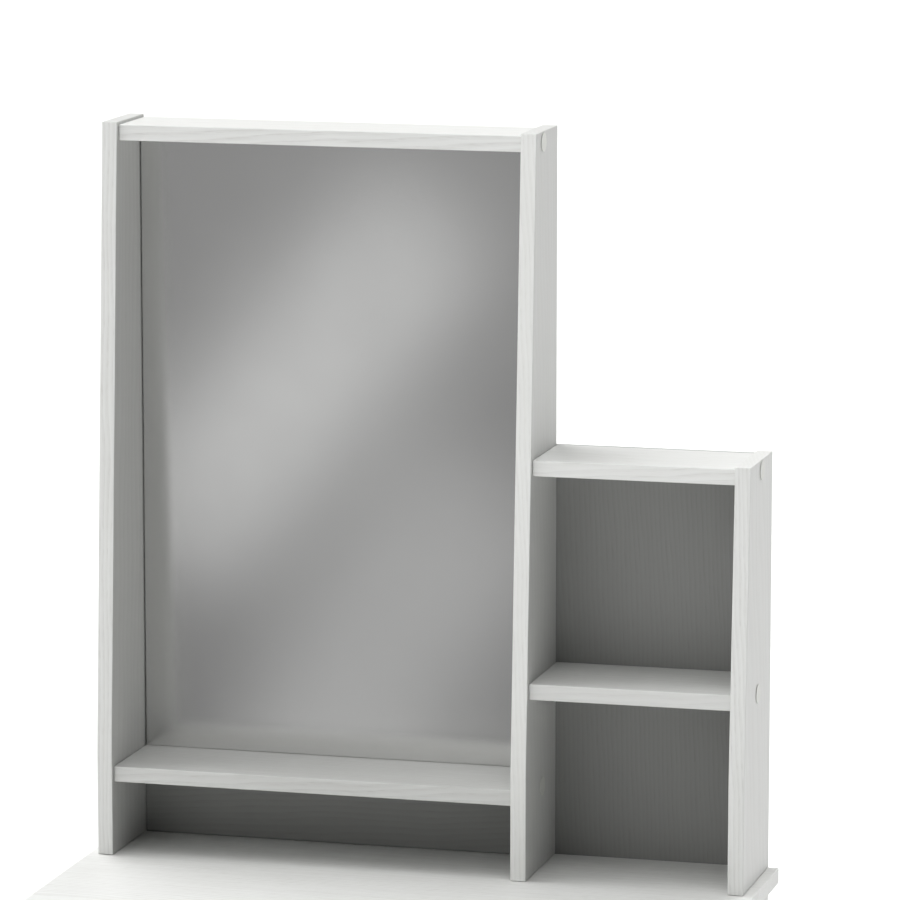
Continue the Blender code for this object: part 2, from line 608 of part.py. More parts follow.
def add_roller(name, nylon, middle, parent=None):
    """A nylon roller with its bore, its origin in the middle of its axle."""
    rim = ARRIS / 2
    half = ROLLER_WIDTH / 2
    outline = [(-half, ROLLER_RADIUS - rim), (rim - half, ROLLER_RADIUS),
               (half - rim, ROLLER_RADIUS), (half, ROLLER_RADIUS - rim)]
    place = middle - parent.location if parent else middle
    roller = add_object(name, turned(outline, ROUND_FLATS), nylon, place, parent)
    bore = AXLE_RADIUS + HOLE_CLEARANCE
    combine(roller, [hole(middle, (1, 0, 0), [(-ROLLER_WIDTH, bore), (ROLLER_WIDTH, bore)])])


def add_runners(steel, nylon, drawer):
    """A channel and an angle runner on each side, with a roller at the front of one and the rear of
    the other. The drawer's roller runs in the channel, and the drawer's flange on the front roller."""
    length_y = (RUNNER_FRONT_Y, RUNNER_FRONT_Y + RUNNER_LENGTH - 2 * GAP)
    front_axle = (length_y[0] + ROLLER_INSET, RUNNING_Z - GAP - ROLLER_RADIUS)
    rear_axle = (length_y[1] - ROLLER_INSET, CHANNEL_FLOOR + GAP + ROLLER_RADIUS)
    half_sheet = RUNNER_SHEET / 2
    pin_length = half_sheet + ROLLER_WIDTH + 2 * ROLLER_SIDE_CLEARANCE + AXLE_HEAD
    notch_y = (length_y[0] - BOARD, front_axle[0] + ROLLER_RADIUS + 2 * ROLLER_PLAY)
    notch_z = (CHANNEL_ROOF - ROLLER_PLAY / 2, RUNNING_Z)
    for end, sign in (("left", -1), ("right", 1)):
        back = sign * (INNER_X - GAP)
        web = back - sign * RUNNER_SHEET
        pin = axle((back - sign * half_sheet, *front_axle), (-sign, 0, 0), pin_length)
        cabinet = add_runner(f"cabinet_runner_{end}", steel, channel_outline(back, sign), length_y, pin)
        notch_x = sorted((web - sign * GAP, web - sign * 2 * FLANGE))
        combine(cabinet, [prism(rectangle(notch_y, notch_z), *notch_x)])

        face = sign * (BOX_OUTER_X + GAP)
        leg = face + sign * RUNNER_SHEET
        stub = axle((face + sign * half_sheet, *rear_axle), (sign, 0, 0), pin_length)
        add_runner(f"drawer_runner_{end}", steel, angle_outline(face, sign), length_y, stub, drawer)

        offset = ROLLER_SIDE_CLEARANCE + ROLLER_WIDTH / 2
        add_roller(f"front_roller_{end}", nylon, Vector((web - sign * offset, *front_axle)))
        add_roller(f"rear_roller_{end}", nylon, Vector((leg + sign * offset, *rear_axle)), drawer)


def main():
    clear_scene()
    laminate = make_material("white_ash_laminate", (0.73, 0.74, 0.71), 0.45)
    backing = make_material("white_back_board", (0.70, 0.71, 0.68), 0.5)
    white = make_material("white_drawer_board", (0.76, 0.76, 0.74), 0.5)
    glass = make_material("silvered_mirror", (0.86, 0.87, 0.86), 0.03, 1.0)
    cap_plastic = make_material("cover_cap_plastic", (0.73, 0.74, 0.71), 0.4)
    glide_plastic = make_material("glide_plastic", (0.60, 0.60, 0.58), 0.45)
    nylon = make_material("roller_nylon", (0.80, 0.80, 0.76), 0.35)
    zinc = make_material("zinc_plated_steel", (0.60, 0.61, 0.62), 0.3, 1.0)
    runner_steel = make_material("white_runner_steel", (0.75, 0.75, 0.74), 0.4)
    knob_metal = make_material("satin_nickel", (0.62, 0.60, 0.57), 0.3, 1.0)
    beech = make_material("beech", (0.55, 0.38, 0.22), 0.6)

    drawer = bpy.data.objects.new("drawer", None)
    drawer.location = (0, FRONT_FACE_Y, BOX_BASE)
    bpy.context.scene.collection.objects.link(drawer)

    boards = add_hutch_boards(laminate, backing)
    boards.update(add_desk(laminate))
    add_mirror(glass)
    holes = fasten_hutch(boards, zinc, cap_plastic)
    holes += fasten_desk(boards, zinc, cap_plastic)
    holes += add_dowels(boards, beech)
    holes += add_glides(boards, glide_plastic)
    holes += add_drawer(laminate, white, knob_metal, zinc, drawer)
    add_runners(runner_steel, nylon, drawer)

    by_board = {}
    for board, cutter in holes:
        by_board.setdefault(board, []).append(cutter)
    for board, cutters in by_board.items():
        combine(board, cutters)


main()
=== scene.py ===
import math

import bmesh
import bpy
import numpy as np
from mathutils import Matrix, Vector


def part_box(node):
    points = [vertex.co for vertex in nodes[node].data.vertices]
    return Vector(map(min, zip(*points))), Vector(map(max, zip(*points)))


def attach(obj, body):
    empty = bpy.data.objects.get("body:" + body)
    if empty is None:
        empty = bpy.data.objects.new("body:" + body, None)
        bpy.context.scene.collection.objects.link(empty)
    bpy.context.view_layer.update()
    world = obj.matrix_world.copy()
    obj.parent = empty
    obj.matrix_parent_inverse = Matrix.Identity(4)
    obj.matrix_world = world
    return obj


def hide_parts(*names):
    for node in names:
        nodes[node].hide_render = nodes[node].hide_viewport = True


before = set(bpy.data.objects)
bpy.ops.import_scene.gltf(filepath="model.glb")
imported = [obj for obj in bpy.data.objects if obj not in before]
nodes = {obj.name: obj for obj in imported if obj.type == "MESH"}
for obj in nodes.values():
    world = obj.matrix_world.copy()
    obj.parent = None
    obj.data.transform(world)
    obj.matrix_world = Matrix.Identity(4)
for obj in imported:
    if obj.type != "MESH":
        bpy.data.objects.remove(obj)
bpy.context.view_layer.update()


# ---- Desk boards --------------------------------------------------------------------------------
# The boards are 15 mm particle board under a white-washed ash laminate, printed and lightly
# embossed with the wood's grain, and edged in the same foil. Each is cut from its own stretch of
# the sheet with the grain along its length, and the back panel stands between the two sides.


def linear(hex_colour):
    """The linear red, green, blue and alpha of an sRGB hex colour: at or below 0.04045 a channel is
    divided by 12.92, and above it is ((c + 0.055) / 1.055) to the power 2.4."""
    channels = np.array([int(hex_colour[place : place + 2], 16) / 255 for place in (1, 3, 5)])
    curve = ((channels + 0.055) / 1.055) ** 2.4
    return (*np.where(channels <= 0.04045, channels / 12.92, curve).tolist(), 1.0)


def add_node(tree, kind, settings=None, **links):
    """Adds a node, sets its properties and then its inputs. Each link's name is an input's name with
    underscores for spaces, or in_N for input N, and its value is an output socket or a plain value."""
    node = tree.nodes.new(kind)
    for key, value in (settings or {}).items():
        setattr(node, key, value)
    for key, value in links.items():
        place = int(key[3:]) if key.startswith("in_") else key.replace("_", " ")
        if isinstance(value, bpy.types.NodeSocket):
            tree.links.new(value, node.inputs[place])
        else:
            node.inputs[place].default_value = value
    return node


def start_material(name):
    """A node material with nothing in it yet, and its tree."""
    material = bpy.data.materials.new(name)
    material.use_nodes = True
    material.node_tree.nodes.clear()
    return material, material.node_tree


def close_material(tree, shader):
    """Joins the shader to the material's surface."""
    output = tree.nodes.new("ShaderNodeOutputMaterial")
    tree.links.new(shader.outputs[0], output.inputs["Surface"])


def dress(node, material):
    """Gives a CAD node its finish."""
    slots = nodes[node].data.materials
    slots.clear()
    slots.append(material)


GRAIN_TURNS = {"x": (0, 0, 0), "y": (0, 0, math.pi / 2), "z": (0, math.pi / 2, 0)}
LOG_TILT = math.radians(1.6)  # between the log's axis and the board, which opens the cathedrals
RING_SPACING = 0.0042  # a fast-grown ash's yearly rings
RING_WANDER = 0.011  # how far a ring wanders sideways along the board
WANDER_SCALE = (7, 22, 22)  # waves of 140 mm along the grain and 45 mm across it
PORE_SCALE = (60, 900, 900)  # pores 17 mm long and 1.1 mm wide
STREAK_SCALE = (5, 210, 210)  # streaks 200 mm long and 5 mm wide
CLOUD_SCALE = 9.0  # patches of 110 mm
MIDDLE_TONE = 0.42  # of the figure, round which its contrast is turned up or down
FACES_FRONT = {"From_Min": -0.6, "From_Max": -0.9}  # the range of a normal's y that counts as front


def ash_laminate(name, along, pith, contrast=(0.4, 0.8), edging_and_front_light=1.09, light="#E3E4E2",
                 dark="#CFCFCC"):
    """White-washed ash foil. The rings are shells round a log's axis that runs along the grain at
    the offset pith: a point's ring is its distance from that axis, plus a slow noise, over the ring
    spacing. Each ring starts with a darker line of pores and fades to pale latewood. The eye sees a
    pale, satin surface with quiet grey figure and short open pores. Their contrast is given for the
    faces and then for whatever faces the front, which is also whiter by a factor: partly the
    edging's own foil, partly painted light from the lamps in front."""
    material, tree = start_material(name)
    place = add_node(tree, "ShaderNodeTexCoord")
    turned = add_node(tree, "ShaderNodeMapping", Vector=place.outputs["Object"], Location=pith,
                      Rotation=GRAIN_TURNS[along])
    tilted = add_node(tree, "ShaderNodeMapping", Vector=turned.outputs[0],
                      Rotation=(0, LOG_TILT, LOG_TILT))
    across = add_node(tree, "ShaderNodeMapping", Vector=tilted.outputs[0], Scale=(0, 1, 1))
    radius = add_node(tree, "ShaderNodeVectorMath", {"operation": "LENGTH"}, in_0=across.outputs[0])
    slow = add_node(tree, "ShaderNodeMapping", Vector=turned.outputs[0], Scale=WANDER_SCALE)
    wander = add_node(tree, "ShaderNodeTexNoise", Vector=slow.outputs[0], Scale=1.0, Detail=2.0)
    shell = add_node(tree, "ShaderNodeMath", {"operation": "MULTIPLY_ADD"},
                     in_0=wander.outputs["Fac"], in_1=RING_WANDER, in_2=radius.outputs["Value"])
    ring = add_node(tree, "ShaderNodeMath", {"operation": "MULTIPLY"},
                    in_0=shell.outputs[0], in_1=1 / RING_SPACING)
    phase = add_node(tree, "ShaderNodeMath", {"operation": "FRACT"}, in_0=ring.outputs[0])
    fade = add_node(tree, "ShaderNodeMapRange", {"interpolation_type": "SMOOTHSTEP"},
                    Value=phase.outputs[0], From_Min=0.0, From_Max=0.75, To_Min=1.0, To_Max=0.0)
    onset = add_node(tree, "ShaderNodeMapRange", {"interpolation_type": "SMOOTHSTEP"},
                     Value=phase.outputs[0], From_Min=0.86, From_Max=1.0)
    band = add_node(tree, "ShaderNodeMath", {"operation": "MAXIMUM"},
                    in_0=fade.outputs[0], in_1=onset.outputs[0])

    # The real open pores are 0.3 mm wide and some 10 mm long, so they're drawn wider, to show.
    fine = add_node(tree, "ShaderNodeMapping", Vector=tilted.outputs[0], Scale=PORE_SCALE)
    pores = add_node(tree, "ShaderNodeTexNoise", Vector=fine.outputs[0], Scale=1.0, Detail=2.0)
    pore = add_node(tree, "ShaderNodeMapRange", Value=pores.outputs["Fac"], From_Min=0.50,
                    From_Max=0.72)
    pore_line = add_node(tree, "ShaderNodeMath", {"operation": "MULTIPLY"},
                         in_0=pore.outputs[0], in_1=band.outputs[0])
    drawn = add_node(tree, "ShaderNodeMapping", Vector=tilted.outputs[0], Scale=STREAK_SCALE)
    streak = add_node(tree, "ShaderNodeTexNoise", Vector=drawn.outputs[0], Scale=1.0, Detail=3.0,
                      Roughness=0.65)
    cloud = add_node(tree, "ShaderNodeTexNoise", Vector=turned.outputs[0], Scale=CLOUD_SCALE,
                     Detail=1.0)
    clouded = add_node(tree, "ShaderNodeMath", {"operation": "MULTIPLY"},
                       in_0=cloud.outputs["Fac"], in_1=0.30)
    figure = add_node(tree, "ShaderNodeMath", {"operation": "MULTIPLY_ADD"},
                      in_0=band.outputs[0], in_1=0.26, in_2=clouded.outputs[0])
    streaked = add_node(tree, "ShaderNodeMath", {"operation": "MULTIPLY_ADD"},
                        in_0=streak.outputs["Fac"], in_1=0.55, in_2=figure.outputs[0])
    pored = add_node(tree, "ShaderNodeMath", {"operation": "MULTIPLY_ADD"},
                     in_0=pore_line.outputs[0], in_1=0.45, in_2=streaked.outputs[0])
    amount = add_node(tree, "ShaderNodeMapRange", Value=pored.outputs[0], From_Min=0.25, From_Max=1.05,
                      To_Min=-MIDDLE_TONE, To_Max=1 - MIDDLE_TONE)

    # The front edges show more of the figure than the faces. They are whiter by a factor that is partly
    # the edging's own foil and partly painted light from the lamps in front.
    facing = add_node(tree, "ShaderNodeSeparateXYZ", Vector=place.outputs["Normal"])
    depth = add_node(tree, "ShaderNodeMapRange", Value=facing.outputs["Y"], To_Min=contrast[0],
                     To_Max=contrast[1], **FACES_FRONT)
    white = add_node(tree, "ShaderNodeMapRange", Value=facing.outputs["Y"], To_Min=1.0,
                     To_Max=edging_and_front_light, **FACES_FRONT)
    quiet = add_node(tree, "ShaderNodeMath", {"operation": "MULTIPLY_ADD"},
                     in_0=amount.outputs[0], in_1=depth.outputs[0], in_2=MIDDLE_TONE)
    colour = add_node(tree, "ShaderNodeMix", {"data_type": "RGBA"}, in_0=quiet.outputs[0],
                      in_6=linear(light), in_7=linear(dark))
    washed_and_front_lit = add_node(tree, "ShaderNodeVectorMath", {"operation": "SCALE"}, in_0=colour.outputs[2],
                      Scale=white.outputs[0])
    sheen = add_node(tree, "ShaderNodeMapRange", Value=pored.outputs[0], From_Min=0.2, From_Max=1.1,
                     To_Min=0.46, To_Max=0.60)
    relief = add_node(tree, "ShaderNodeBump", {"invert": True}, Strength=depth.outputs[0],
                      Distance=0.00005, Height=pored.outputs[0])
    shader = add_node(tree, "ShaderNodeBsdfPrincipled", Base_Color=washed_and_front_lit.outputs[0],
                      Roughness=sheen.outputs[0], IOR=1.46, Normal=relief.outputs[0])
    close_material(tree, shader)
    return material


# Each board: the way its grain runs and where the pith of its log lies. Some boards then have the
# contrast of their figure, the factor that whitens whatever faces the front (partly the edging's
# own foil, partly painted light) and their lighter and darker tone.
DESK_BOARDS = {
    "desk_left_side": ("z", (0.31, 0.052, 0.120)),
    "desk_right_side": ("z", (1.27, -0.061, 0.113)),
    "desk_back_panel": ("x", (2.40, 0.090, -0.031)),
    # The table top's lighter tone is painted light.
    "table_top": ("x", (3.15, 0.013, -0.655), (1.3, 1.0), 1.0, "#EBECEA", "#D9D9D6"),
}
for board, cut in DESK_BOARDS.items():
    dress(board, ash_laminate(f"white_washed_ash_{board}", *cut))


# ---- Glides -------------------------------------------------------------------------------------
# Moulded polythene feet with a nail through each, driven into the lower edges of the desk sides.


def moulded_plastic(name, light, dark, roughness, grit):
    """Moulded plastic: an even colour with a faint cloud in it, and a spark-eroded grit of that
    size that breaks up its gloss."""
    material, tree = start_material(name)
    place = add_node(tree, "ShaderNodeTexCoord")
    cloud = add_node(tree, "ShaderNodeTexNoise", Vector=place.outputs["Object"], Scale=60.0, Detail=2.0)
    tone = add_node(tree, "ShaderNodeMix", {"data_type": "RGBA"}, in_0=cloud.outputs["Fac"],
                    in_6=linear(light), in_7=linear(dark))
    grain = add_node(tree, "ShaderNodeTexNoise", Vector=place.outputs["Object"], Scale=1 / grit,
                     Detail=1.0)
    relief = add_node(tree, "ShaderNodeBump", Strength=0.2, Distance=0.00005,
                      Height=grain.outputs["Fac"])
    shader = add_node(tree, "ShaderNodeBsdfPrincipled", Base_Color=tone.outputs[2],
                      Roughness=roughness, IOR=1.5, Normal=relief.outputs[0])
    close_material(tree, shader)
    return material


polythene = moulded_plastic("grey_polythene", "#B9B9B5", "#A5A5A0", 0.5, 0.0006)
for end in ("left", "right"):
    dress(f"glide_front_{end}", polythene)
    dress(f"glide_rear_{end}", polythene)


# ---- Dowels -------------------------------------------------------------------------------------
# Two plain turned beech dowels, which run from the hutch's outer sides through the table top into
# the desk sides, with nothing of them left in sight.


def turned_beech(name):
    """Beech: pinkish tan with short darker flecks along the grain, which here runs upright. Bare and
    dry to the eye."""
    material, tree = start_material(name)
    place = add_node(tree, "ShaderNodeTexCoord")
    drawn = add_node(tree, "ShaderNodeMapping", Vector=place.outputs["Object"], Scale=(1600, 1600, 260))
    fleck = add_node(tree, "ShaderNodeTexNoise", Vector=drawn.outputs[0], Scale=1.0, Detail=3.0)
    tone = add_node(tree, "ShaderNodeMix", {"data_type": "RGBA"}, in_0=fleck.outputs["Fac"],
                    in_6=linear("#D3B38C"), in_7=linear("#A97F56"))
    relief = add_node(tree, "ShaderNodeBump", Strength=0.3, Distance=0.0001, Height=fleck.outputs["Fac"])
    shader = add_node(tree, "ShaderNodeBsdfPrincipled", Base_Color=tone.outputs[2], Roughness=0.65,
                      IOR=1.5, Normal=relief.outputs[0])
    close_material(tree, shader)
    return material


beech = turned_beech("turned_beech")
dress("hutch_dowel_left", beech)
dress("hutch_dowel_right", beech)


# ---- Hutch boards -------------------------------------------------------------------------------
# Three sides with four boards between them, all of the desk's laminate. The left and middle sides
# and the mirror shelf take a darker tone, painted shade for their faces in the recesses. Each board's
# front is whitened by its own factor, partly painted light. The sides' front edges are cut on a slope
# and edged after the cut.

HUTCH_BOARDS = {
    # The darker tones of the left and middle sides and of the mirror shelf are painted shade.
    "hutch_left_side": ("z", (4.62, -0.120, 0.301), (0.35, 0.85), 1.24, "#D8D9D7", "#C5C5C2"),
    "hutch_middle_side": ("z", (5.38, -0.163, -0.128), (0.2, 0.55), 1.34, "#D9DAD8", "#C6C6C3"),
    "hutch_right_side": ("z", (6.91, -0.128, -0.337), (0.25, 0.8), 1.16),
    "hutch_top_board": ("x", (7.44, -0.118, -1.350), (0.8, 0.95), 1.14),
    "mirror_shelf": ("x", (8.23, -0.106, -0.731), (0.7, 0.8), 1.17, "#D3D4D2", "#C0C0BD"),
    "cubby_top_board": ("x", (9.57, -0.126, -1.061), (0.8, 0.7), 1.19),
    "cubby_shelf": ("x", (10.8, -0.098, -0.835), (0.8, 0.45), 1.08),
}
for board, cut in HUTCH_BOARDS.items():
    dress(board, ash_laminate(f"white_washed_ash_{board}", *cut))


# ---- Backs --------------------------------------------------------------------------------------
# The rail under the mirror, the board behind it and the cubbies' 3 mm back wear a thinner foil of
# the same ash. It is drawn grey at about half the boards' lightness, as painted shade for the recesses
# behind the shelves. The thin back is held on by small domed pins, driven along its edges.

BACKS = {
    # Painted shade: these tones are about half as light as the boards'.
    "lower_back_rail": ("x", (11.6, -0.151, -0.741), (0.5, 0.5), 1.0, "#A0A19F", "#8E8E8B"),
    "mirror_backing_board": ("z", (13.9, -0.30, 0.10), (0.4, 0.4), 1.0, "#9C9D9B", "#888885"),
    "cubby_back_panel": ("z", (12.3, -0.26, -0.20), (0.4, 0.4), 1.0, "#9C9D9B", "#888885"),
}
for board, cut in BACKS.items():
    dress(board, ash_laminate(f"painted_shade_ash_foil_{board}", *cut))


SHARPEST_SMOOTH = math.radians(32)  # a larger angle between two faces stays a sharp edge


def revolve(name, profile, middles, axis, flats, closed=False):
    """A surface of revolution, once for each middle. The profile is a row of (along, radius) points,
    and each becomes a ring: middle + along * axis + radius * (cos t * first + sin t * second), where
    first and second are square to the axis. A closed profile joins its ends, round a bore."""
    along, radius = np.array(profile, float).T
    axis = np.array(axis, float)
    first = np.roll(axis, 1)
    second = np.cross(axis, first)
    t = np.linspace(0, 2 * np.pi, flats, endpoint=False)
    spoke = np.cos(t)[:, None] * first + np.sin(t)[:, None] * second
    one = along[:, None, None] * axis + radius[:, None, None] * spoke
    middles = np.reshape(middles, (-1, 3))
    points = (middles[:, None, None, :] + one).reshape(-1, 3)
    rows = np.arange(len(along))
    lower, upper = (rows, np.roll(rows, -1)) if closed else (rows[:-1], rows[1:])
    step = np.arange(flats)
    after = np.roll(step, -1)
    low, high = lower[:, None] * flats, upper[:, None] * flats
    quads = np.stack([low + step, low + after, high + after, high + step], -1).reshape(-1, 4)
    starts = np.arange(len(middles))[:, None, None] * len(along) * flats
    mesh = bpy.data.meshes.new(name)
    mesh.from_pydata(points, [], (starts + quads).reshape(-1, 4))
    return finish_surface(name, mesh)


def finish_surface(name, mesh):
    """Merges the points of poles, turns every face outwards, and links the object."""
    shape = bmesh.new()
    shape.from_mesh(mesh)
    bmesh.ops.remove_doubles(shape, verts=shape.verts, dist=1e-7)
    bmesh.ops.recalc_face_normals(shape, faces=shape.faces)
    shape.to_mesh(mesh)
    shape.free()
    mesh.shade_smooth()
    mesh.set_sharp_from_angle(angle=SHARPEST_SMOOTH)
    made = bpy.data.objects.new(name, mesh)
    bpy.context.scene.collection.objects.link(made)
    return made


RIM_POINTS = 7
DOME_POINTS = 12


def domed_disc(radius, thickness, crown, rim):
    """The profile of a disc from its flat face's edge to the middle of its domed face. The dome's
    height is thickness - crown * q^2 for q from 1 at its edge to 0, and outside it the face turns
    down to the wall on a quarter circle of radius rim."""
    turn = np.linspace(np.pi / 2, 0, RIM_POINTS)
    wall_top = thickness - crown - rim
    edge = np.stack([wall_top + rim * np.cos(turn), radius - rim + rim * np.sin(turn)], -1)
    q = np.linspace(1, 0, DOME_POINTS)[1:]
    dome = np.stack([thickness - crown * q**2, q * (radius - rim)], -1)
    return [(0.0, radius), *edge.tolist(), *dome.tolist()]


def plated_metal(name, light, dark, roughness, spot):
    """Plated metal: two near tones in spots of that size, whose gloss follows them. The eye sees an
    even metal that is a little cloudy, as thin plating is."""
    material, tree = start_material(name)
    place = add_node(tree, "ShaderNodeTexCoord")
    mottle = add_node(tree, "ShaderNodeTexNoise", Vector=place.outputs["Object"], Scale=1 / spot,
                      Detail=3.0)
    tone = add_node(tree, "ShaderNodeMix", {"data_type": "RGBA"}, in_0=mottle.outputs["Fac"],
                    in_6=linear(light), in_7=linear(dark))
    gloss = add_node(tree, "ShaderNodeMapRange", Value=mottle.outputs["Fac"], From_Min=0.3,
                     From_Max=0.7, To_Min=roughness * 0.85, To_Max=roughness * 1.2)
    shader = add_node(tree, "ShaderNodeBsdfPrincipled", Base_Color=tone.outputs[2], Metallic=1.0,
                      Roughness=gloss.outputs[0])
    close_material(tree, shader)
    return material


PIN_HEAD = [(0.0, 0.0), *domed_disc(radius=0.0022, thickness=0.0005, crown=0.0001, rim=0.0002)]
PIN_FLATS = 16
PIN_MARGIN = 0.006  # from the panel's edges, over the middles of the sides' rear edges
PINS_UP = 6  # along each upright edge
PINS_ACROSS = 2  # into the rear edge of each board between the sides
low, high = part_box("cubby_back_panel")
up = np.linspace(low.z + 2 * PIN_MARGIN, high.z - PIN_MARGIN, PINS_UP)
edges = [(x, high.y, z) for x in (low.x + PIN_MARGIN, high.x - PIN_MARGIN) for z in up]
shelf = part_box("cubby_shelf")
level = (shelf[0].z + shelf[1].z) / 2
between = np.linspace(low.x, high.x, PINS_ACROSS + 2)[1:-1]
across = [(x, high.y, z) for x in between for z in (level, high.z - PIN_MARGIN)]
pins = revolve("back_panel_pins", PIN_HEAD, edges + across, (0, 1, 0), PIN_FLATS)
pins.data.materials.append(plated_metal("zinc_plated_pin", "#C2C4C6", "#A6A9AD", 0.35, 0.002))
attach(pins, "cabinet")


# ---- Mirror -------------------------------------------------------------------------------------
# A 3 mm sheet of silvered float glass with ground edges. It stands on its shelf and is bonded to
# the backing board.


def silvered_glass(name):
    """Silver behind float glass. A bloom of fine dust and polish blurs what it reflects, a little
    more in some patches than in others, so the eye sees a soft grey sheen and no sharp image."""
    material, tree = start_material(name)
    place = add_node(tree, "ShaderNodeTexCoord")
    patch = add_node(tree, "ShaderNodeTexNoise", Vector=place.outputs["Object"], Scale=11.0, Detail=4.0)
    grit = add_node(tree, "ShaderNodeTexNoise", Vector=place.outputs["Object"], Scale=420.0, Detail=2.0)
    bloom = add_node(tree, "ShaderNodeMapRange", Value=patch.outputs["Fac"], From_Min=0.3, From_Max=0.7,
                     To_Min=0.18, To_Max=0.20)
    tone = add_node(tree, "ShaderNodeMix", {"data_type": "RGBA"}, in_0=grit.outputs["Fac"],
                    in_6=linear("#E6E6E5"), in_7=linear("#DCDCDB"))
    shader = add_node(tree, "ShaderNodeBsdfPrincipled", Base_Color=tone.outputs[2], Metallic=1.0,
                      Roughness=bloom.outputs[0])
    close_material(tree, shader)
    return material


dress("mirror_glass", silvered_glass("silvered_float_glass"))


# ---- Connecting screws --------------------------------------------------------------------------
# Zinc-plated screws with a hexagon socket, driven through the sides into the boards' ends.

zinc = plated_metal("zinc_plated_steel", "#C9CBCD", "#AEB1B5", 0.32, 0.004)
ROWS = ("hutch_top", "mirror_shelf", "cubby_top", "cubby_shelf", "desk_back_upper", "desk_back_lower")
SCREWED = [(f"{row}_{end}", way) for row in ROWS for end, way in (("left", -1), ("right", 1))]
for joint, way in SCREWED:
    dress(f"{joint}_screw", zinc)


# ---- Cover caps ---------------------------------------------------------------------------------
# Moulded discs 18 mm across in the laminate's own tint, each with a peg that is pressed into the
# socket of the screw under it. The face is slightly domed and its rim is rounded.

CAP_PEG = [(-0.002, 0.0), (-0.002, 0.0014), (0.0, 0.0014)]
CAP_THICKNESS = 0.0007
CAP_FLATS = 64
CAP_FACE = domed_disc(radius=0.009, thickness=CAP_THICKNESS, crown=0.00008, rim=0.00022)
tinted = moulded_plastic("tinted_polythene", "#E0E1DC", "#D8D9D3", 0.45, 0.0007)
for joint, way in SCREWED:
    low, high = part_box(f"{joint}_cap")
    outer = high.x if way > 0 else low.x
    seat = (outer - way * CAP_THICKNESS, (low.y + high.y) / 2, (low.z + high.z) / 2)
    cap = revolve(f"{joint}_cover_cap", CAP_PEG + CAP_FACE, seat, (way, 0, 0), CAP_FLATS)
    cap.data.materials.append(tinted)
    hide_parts(f"{joint}_cap")
    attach(cap, "cabinet")


# ---- Drawer -------------------------------------------------------------------------------------
# A laminate front on a box of 12 mm fibreboard under a plain white foil. The bottom slides in
# grooves, and the back stands on it.


def white_foil(name, along):
    """White foil with a fine linen emboss and faint lines along the board: matt, a shade cooler than
    the laminate. The threads are 0.5 mm apart, drawn 0.9 mm apart, to show."""
    material, tree = start_material(name)
    place = add_node(tree, "ShaderNodeTexCoord")
    turned = add_node(tree, "ShaderNodeMapping", Vector=place.outputs["Object"],
                      Rotation=GRAIN_TURNS[along])
    drawn = add_node(tree, "ShaderNodeMapping", Vector=turned.outputs[0], Scale=(8, 330, 330))
    line = add_node(tree, "ShaderNodeTexNoise", Vector=drawn.outputs[0], Scale=1.0, Detail=2.0)
    linen = add_node(tree, "ShaderNodeTexNoise", Vector=place.outputs["Object"], Scale=1100.0,
                     Detail=1.0)
    tone = add_node(tree, "ShaderNodeMix", {"data_type": "RGBA"}, in_0=line.outputs["Fac"],
                    in_6=linear("#E9E9E6"), in_7=linear("#DADAD6"))
    relief = add_node(tree, "ShaderNodeBump", Strength=0.25, Distance=0.00008,
                      Height=linen.outputs["Fac"])
    shader = add_node(tree, "ShaderNodeBsdfPrincipled", Base_Color=tone.outputs[2], Roughness=0.55,
                      IOR=1.46, Normal=relief.outputs[0])
    close_material(tree, shader)
    return material


# Its face looks to the front, so all of it is whitened by the default factor: painted light.
dress("drawer_front", ash_laminate("white_washed_ash_drawer_front", "x", (14.1, 0.05, -0.60)))
lengthways = white_foil("white_foil_lengthways", "y")
for board in ("drawer_left_side", "drawer_right_side", "drawer_bottom"):
    dress(board, lengthways)
dress("drawer_back", white_foil("white_foil_crossways", "x"))


# ---- Knob ---------------------------------------------------------------------------------------
# A small zinc-alloy knob, turned, brushed round and round, and plated in satin nickel. A machine
# screw from inside the drawer holds it.


def curve_through(points, steps):
    """A Catmull-Rom curve through the points: between p1 and p2, with neighbours p0 and p3, it is
    half of 2 p1 + (p2 - p0) t + (2 p0 - 5 p1 + 4 p2 - p3) t^2 + (3 p1 - p0 - 3 p2 + p3) t^3."""
    p = np.array([points[0], *points, points[-1]], float)
    t = np.linspace(0, 1, steps, endpoint=False)[None, :, None]
    p0, p1, p2, p3 = (p[shift : len(p) - 3 + shift, None, :] for shift in range(4))
    run = (2 * p1 + (p2 - p0) * t + (2 * p0 - 5 * p1 + 4 * p2 - p3) * t**2
           + (3 * p1 - p0 - 3 * p2 + p3) * t**3) / 2
    return [*run.reshape(-1, 2).tolist(), points[-1]]


def brushed_round(name, middle):
    """Satin nickel: warm grey metal whose brushing runs in rings round the knob's axis, 0.25 mm
    apart, drawn 0.5 mm apart to show. The eye sees a soft highlight drawn out across the rings."""
    material, tree = start_material(name)
    place = add_node(tree, "ShaderNodeTexCoord")
    centred = add_node(tree, "ShaderNodeMapping", Vector=place.outputs["Object"],
                       Location=[-part for part in middle])
    rings = add_node(tree, "ShaderNodeTexWave", {"wave_type": "RINGS", "rings_direction": "Y"},
                     Vector=centred.outputs[0], Scale=628.0, Distortion=1.2, Detail=2.0)
    tone = add_node(tree, "ShaderNodeMix", {"data_type": "RGBA"}, in_0=rings.outputs["Fac"],
                    in_6=linear("#CFCAC1"), in_7=linear("#BDB7AE"))
    relief = add_node(tree, "ShaderNodeBump", Strength=0.25, Distance=0.00004,
                      Height=rings.outputs["Fac"])
    shader = add_node(tree, "ShaderNodeBsdfPrincipled", Base_Color=tone.outputs[2], Metallic=1.0,
                      Roughness=0.28, Normal=relief.outputs[0])
    close_material(tree, shader)
    return material


